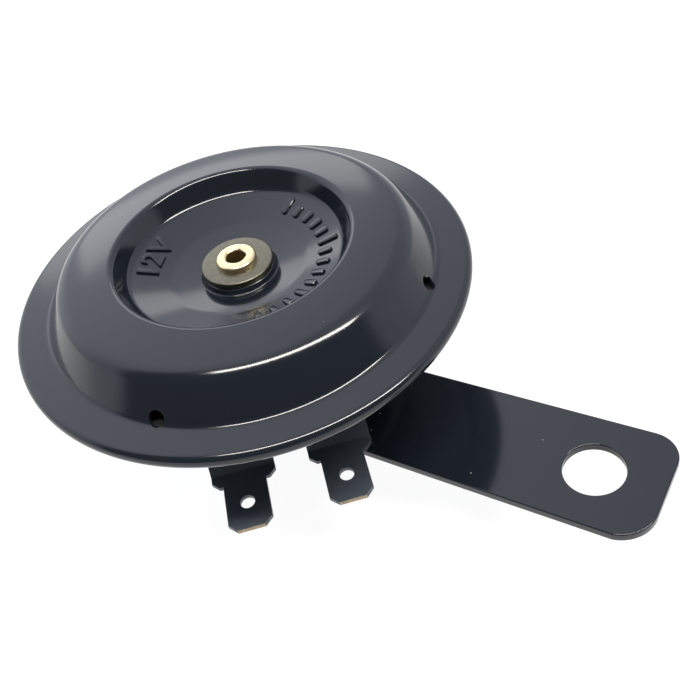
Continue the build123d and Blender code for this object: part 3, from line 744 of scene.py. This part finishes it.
# %% [markdown]
# ## Threads
#
# The stud and the adjusting screw are the only threads that show. A rolled thread is a groove
# that climbs one pitch a turn, so each point of a finely turned bar is sunk by how far it is from
# the crest: the height plus its share of the turn gives that. The flats at crest and root are
# those of the metric thread form.

# %% Turn a bar and roll a thread on it
def threaded_bar(name, outline, pitch, depth, low, high, turns=72):
    dense = []
    for (r0, z0), (r1, z1) in zip(outline, outline[1:]):
        threaded = min(z0, z1) < high and r0 > 1
        rows = max(1, round(abs(z1 - z0) / (pitch / 12))) if threaded else 1
        dense += [(r0 + (r1 - r0) * k / rows, z0 + (z1 - z0) * k / rows) for k in range(rows)]
    dense.append(outline[-1])
    mesh = revolve(name, dense, turns)
    for vert in mesh.vertices:
        x, y, z = vert.co
        r = hypot(x, y)
        if low <= z <= high and r > depth * 2:
            share = (z / pitch - atan2(y, x) / (2 * pi)) % 1.0
            sunk = min(1.0, max(0.0, (0.875 - abs(2 * share - 1)) / 0.625))
            fade = min(1.0, (high - z) / pitch)
            new_r = min(r, max(r - depth * sunk * fade, depth))
            vert.co.x = x * new_r / r
            vert.co.y = y * new_r / r
    return mesh


# %% Roll the stud's M6 thread, 1 mm a turn, below the pot
CORE_R, STUD_R = 5.0, 3.0
stud = threaded_bar(
    "pole_core_bar",
    [
        (AXIS, -9.2),
        (4.6, -9.2),
        (CORE_R, -9.6),
        (CORE_R, POT_Z),
        (STUD_R, POT_Z),
        (STUD_R, STUD_END_Z + 0.7),
        (2.3, STUD_END_Z),
        (AXIS, STUD_END_Z),
    ],
    1.0,
    0.613,
    STUD_END_Z,
    POT_Z - 0.2,
)
finish_piece("pole_core_bar", stud, [zinc], ["pole_core"], sharp=50.0)

# %% Roll the adjusting screw's M3 thread, 0.5 mm a turn, and saw its slot
SCREW_END_Z, SCREW_R = -19.4, 1.5
SCREW_PLACE = (-5.7, 15.0, 0)
screw = threaded_bar(
    "adjusting_screw_rolled",
    [
        (AXIS, -4.25),
        (1.1, -4.25),
        (SCREW_R, -4.65),
        (SCREW_R, SCREW_END_Z + 0.3),
        (1.2, SCREW_END_Z),
        (AXIS, SCREW_END_Z),
    ],
    0.5,
    0.307,
    SCREW_END_Z,
    -5.2,
    48,
)
slot_cut = [(-3, -0.3), (3, -0.3), (3, 0.3), (-3, 0.3)]
saw = flat_plate("saw", [slot_cut], SCREW_END_Z - 1, SCREW_END_Z + 0.9, 0.02)
screw = cut(screw, [saw])
screw.transform(Matrix.Translation(SCREW_PLACE))
finish_piece(
    "adjusting_screw_rolled", screw, [zinc], ["adjusting_screw"], sharp=50.0
)

# %% [markdown]
# ## Blanked and bent strip
#
# The bracket and the two terminals are cut flat from strip and then bent. They can be made the
# same way here: draw the flat blank with its holes, round its edges a little, cut it across where
# the bend goes, and move each point onto the bent line. Sheared and enamelled edges have a radius
# of 0.1 to 0.2 mm, and that is the thin light line which runs along them.

# %% Bend a flat blank along a path of its front face
def bend(mesh, path_points, radii):
    path = rounded(path_points, radii, 4.0)
    stations = [0.0]
    for (ax, az), (bx, bz) in zip(path, path[1:]):
        stations.append(stations[-1] + hypot(bx - ax, bz - az))
    shape = bmesh.new()
    shape.from_mesh(mesh)
    for at in stations[1:-1]:
        whole = shape.verts[:] + shape.edges[:] + shape.faces[:]
        bmesh.ops.bisect_plane(
            shape, geom=whole, plane_co=(at, 0, 0), plane_no=(1, 0, 0), dist=1e-5
        )
    last = len(path) - 2
    for vert in shape.verts:
        along, side, depth = vert.co
        i = max([k for k in range(last + 1) if stations[k] <= along] or [0])
        run = stations[i + 1] - stations[i]
        share = (along - stations[i]) / run
        normals = []
        for k in (i - 1, i, i + 1):
            k = min(max(k, 0), last)
            dx = path[k + 1][0] - path[k][0]
            dz = path[k + 1][1] - path[k][1]
            normals.append(Vector((-dz, dx)) / hypot(dx, dz))
        before = (normals[0] + normals[1]) / 2
        after = (normals[1] + normals[2]) / 2
        lift = before.lerp(after, min(max(share, 0), 1))
        lift = lift / lift.dot(normals[1])
        x = path[i][0] + (path[i + 1][0] - path[i][0]) * share
        z = path[i][1] + (path[i + 1][1] - path[i][1]) * share
        vert.co = (x + lift.x * depth, side, z + lift.y * depth)
    shape.to_mesh(mesh)
    shape.free()


def arc_through(first, middle, last, steps):
    (ax, ay), (bx, by), (cx, cy) = first, middle, last
    d = 2 * (ax * (by - cy) + bx * (cy - ay) + cx * (ay - by))
    aa, bb, cc = ax * ax + ay * ay, bx * bx + by * by, cx * cx + cy * cy
    ux = (aa * (by - cy) + bb * (cy - ay) + cc * (ay - by)) / d
    uy = (aa * (cx - bx) + bb * (ax - cx) + cc * (bx - ax)) / d
    start, stop = atan2(ay - uy, ax - ux), atan2(cy - uy, cx - ux)
    r = hypot(ax - ux, ay - uy)
    swing = (stop - start + pi) % (2 * pi) - pi
    return [
        (ux + r * cos(start + swing * k / steps), uy + r * sin(start + swing * k / steps))
        for k in range(steps + 1)
    ]


# %% Blank the bracket: one end round, the other with a cut near corner and a rounded far one
RISE = radians(5.8)
BEND_X = 13.0
BRACKET_HALF = 8.55
BRACKET_T = 1.3
STUD_HOLE_R, BOLT_HOLE_R = 3.2, 4.1
CUT_LENGTH, CUT_SIDE, FAR_CORNER_R = 5.2, 3.6, 4.0
hole_at = BEND_X + (HOLE_X - BEND_X) / cos(RISE)
end_at = hole_at + 9.35
blank_outline = circle(0, 0, BRACKET_HALF, 96)[24:73]
blank_outline += arc_through(
    (hole_at + CUT_LENGTH, -BRACKET_HALF),
    (end_at - 1.55, -BRACKET_HALF + 1.3),
    (end_at, -CUT_SIDE),
    16,
)
corner_x, corner_y = end_at - FAR_CORNER_R, BRACKET_HALF - FAR_CORNER_R
blank_outline += [
    (corner_x + FAR_CORNER_R * cos(radians(a)), corner_y + FAR_CORNER_R * sin(radians(a)))
    for a in range(0, 91, 6)
]
strip = flat_plate(
    "bracket_strip",
    [blank_outline, circle(0, 0, STUD_HOLE_R, 64), circle(hole_at, 0, BOLT_HOLE_R, 96)],
    -BRACKET_T,
    0.0,
    0.2,
)
strip.transform(Matrix.Translation((BRACKET_HALF, 0, 0)))

# %% Bend the bracket up towards its bolt hole
far = 80.0
bend(
    strip,
    [
        (-BRACKET_HALF, BRACKET_Z),
        (BEND_X, BRACKET_Z),
        (far, BRACKET_Z + (far - BEND_X) * tan(RISE)),
    ],
    [6.0],
)
finish_piece("bracket_strip", strip, [enamel], ["bracket"], broad=True)

# %% Outline of a flat blade, 6.3 mm wide with 1.2 mm cut off each corner
BLADE_T = 0.8
STEP = 1.9
# distances from the horn's axis
RIVET_AT = 14.6
ROOT, TIP, SHOULDER, CREASE = 10.6, 30.4, 22.6, 20.7
# sizes of the blank
RIVET_HOLE_R, LATCH_HOLE_R, LATCH_BACK = 1.55, 1.05, 4.3
TIP_CUT, SHOULDER_CUT = 1.2, 1.0
OUTER_INSULATOR_T = 1.5
BASE_Z = POT_BACK_Z - OUTER_INSULATOR_T
stretch = STEP * (sqrt(2) - 1)
tip, shoulder = TIP + stretch - ROOT, SHOULDER + stretch - ROOT
half_blade, half_wide = 3.15, 4.7
blade_half = [
    (0.0, half_wide),
    (shoulder - SHOULDER_CUT, half_wide),
    (shoulder, half_wide - SHOULDER_CUT),
    (shoulder, half_blade),
    (tip - TIP_CUT, half_blade),
    (tip, half_blade - TIP_CUT),
]
blade_outline = blade_half + [(x, -y) for x, y in reversed(blade_half)]
print("flat blade is", round(tip, 2), "mm long")

# %% Blank and bend the two blade terminals, side by side on the pot
TERMINAL_ANGLE = -46.0
TERMINAL_SIDE = 7.2
for side, name in ((-1, "terminal_left"), (1, "terminal_right")):
    blade = flat_plate(
        name + "_blade",
        [
            blade_outline,
            circle(RIVET_AT - ROOT, 0, RIVET_HOLE_R, 40),
            circle(tip - LATCH_BACK, 0, LATCH_HOLE_R, 40),
        ],
        -BLADE_T,
        0.0,
        0.1,
    )
    for face in blade.polygons:
        at_tip = face.center.x > tip - 0.3
        if at_tip and abs(face.normal.z) < 0.5 and face.normal.x > 0.9:
            face.material_index = 1
    bend(
        blade,
        [
            (ROOT, BASE_Z),
            (CREASE - STEP, BASE_Z),
            (CREASE, BASE_Z - STEP),
            (TIP + 2, BASE_Z - STEP),
        ],
        [0.6, 0.6],
    )
    turned = Matrix.Rotation(radians(TERMINAL_ANGLE), 4, "Z")
    blade.transform(turned @ Matrix.Translation((0, side * TERMINAL_SIDE, 0)))
    finish_piece(name + "_blade", blade, [lacquer, sheared], [name], broad=True)

# %% [markdown]
# ## Floor, light and camera
#
# A glossy black thing is lit by what it reflects, so the light matters more than the paint. It
# stands on a pale lit sheet in a tent. The cloth is brightest on the far left, and the tent is
# open on the camera's side, which leaves the near walls dark. A long strip overhead draws the
# bright lines on the rounded edges, and a small box behind fills the dish. The camera looks down
# at about 46 degrees from close by, as the picture was taken.

# %% Lay the floor
floor = bpy.data.meshes.new("floor")
floor_z = (STUD_END_Z + HOLE_DROP) / 1000 - 0.0001
corners = [(-4, -4, floor_z), (4, -4, floor_z), (4, 4, floor_z), (-4, 4, floor_z)]
floor.from_pydata(corners, [], [(0, 1, 2, 3)])
board, tree, shader, place = surface(
    "lit_acrylic_sheet", {"Base Color": linear("#6b6b6b"), "Roughness": 0.7}
)
shader.inputs["Emission Color"].default_value = (1, 1, 1, 1)
shader.inputs["Emission Strength"].default_value = 0.92
floor.materials.append(board)
floor_piece = bpy.data.objects.new("floor", floor)
bpy.context.scene.collection.objects.link(floor_piece)
print("floor at", round(floor_z, 5))

# %% Hang the tent
scene = bpy.context.scene
tent = bpy.data.worlds.new("tent")
scene.world = tent
tent.use_nodes = True
tree = tent.node_tree
tree.nodes.clear()
ray = add_node(tree, "ShaderNodeTexCoord").outputs["Generated"]


# light that changes smoothly with how far a ray points to one side
def side_glow(toward, from_dot, to_dot, low, high):
    turn = add_node(
        tree, "ShaderNodeVectorMath", {"operation": "DOT_PRODUCT"}, {1: toward}, {0: ray}
    )
    return add_node(
        tree,
        "ShaderNodeMapRange",
        {"interpolation_type": "SMOOTHSTEP"},
        {"From Min": from_dot, "From Max": to_dot, "To Min": low, "To Max": high},
        {"Value": turn.outputs["Value"]},
    ).outputs["Result"]


cloth = side_glow((-0.771, 0.164, 0.616), 0.6, 1.0, 0.92, 1.55)
opening = side_glow((0.52, -0.742, 0.423), 0.28, 0.46, 1.0, 0.2)
glow = add_node(tree, "ShaderNodeMath", {"operation": "MULTIPLY"}, {}, {0: cloth, 1: opening})
sky = add_node(
    tree,
    "ShaderNodeBackground",
    values={"Color": (0.95, 0.975, 1.08, 1)},
    links={"Strength": glow.outputs["Value"]},
)
add_node(tree, "ShaderNodeOutputWorld", links={"Surface": sky.outputs["Background"]})
print("tent nodes", len(tree.nodes))


# %% Hang two soft boxes
def soft_box(name, place, target, width, height, power, turn=None):
    lamp = bpy.data.lights.new(name, "AREA")
    lamp.shape = "RECTANGLE"
    lamp.size = width
    lamp.size_y = height
    lamp.energy = power
    box = bpy.data.objects.new(name, lamp)
    box.location = place
    box.rotation_mode = "QUATERNION"
    aim = (Vector(target) - Vector(place)).normalized()
    box.rotation_quaternion = aim.to_track_quat("-Z", "Y")
    if turn is not None:
        # lay its long side along this compass direction
        long = Vector((cos(radians(turn)), sin(radians(turn)), 0))
        long = (long - aim * long.dot(aim)).normalized()
        axes = Matrix((long, aim.cross(long) * -1, -aim)).transposed()
        box.rotation_quaternion = axes.to_quaternion()
    scene.collection.objects.link(box)
    return box


rim_centre = tuple(TO_FRAME @ Vector((0, 0, 0)))
tube = soft_box("strip_tube", (0.24, -0.02, 1.02), rim_centre, 1.15, 0.16, 18.0, turn=35.5)
tube.data.color = (1.0, 0.97, 0.9)
back_box = soft_box("back_box", (-0.716, 0.596, 0.47), rim_centre, 0.62, 0.2, 0.7)
for lamp in (tube, back_box):
    print("lamp", lamp.name, round(lamp.data.energy, 2), "W")

# %% Place the camera
eye = bpy.data.cameras.new("camera")
eye.sensor_width = 36.0
eye.lens = 40.9525
eye.clip_start = 0.005
camera = bpy.data.objects.new("camera", eye)
right = Vector((0.84433, 0.51327, -0.15381))
up = Vector((-0.28659, 0.67515, 0.67974))
back = Vector((0.45273, -0.52984, 0.71715))
stand = Vector((0.015768, -0.061191, 0.090364))
camera.matrix_world = Matrix(
    [(right[i], up[i], back[i], stand[i]) for i in range(3)] + [(0, 0, 0, 1)]
)
scene.collection.objects.link(camera)
scene.camera = camera
scene.view_settings.view_transform = "Standard"
print("camera at", tuple(round(v, 4) for v in camera.location))
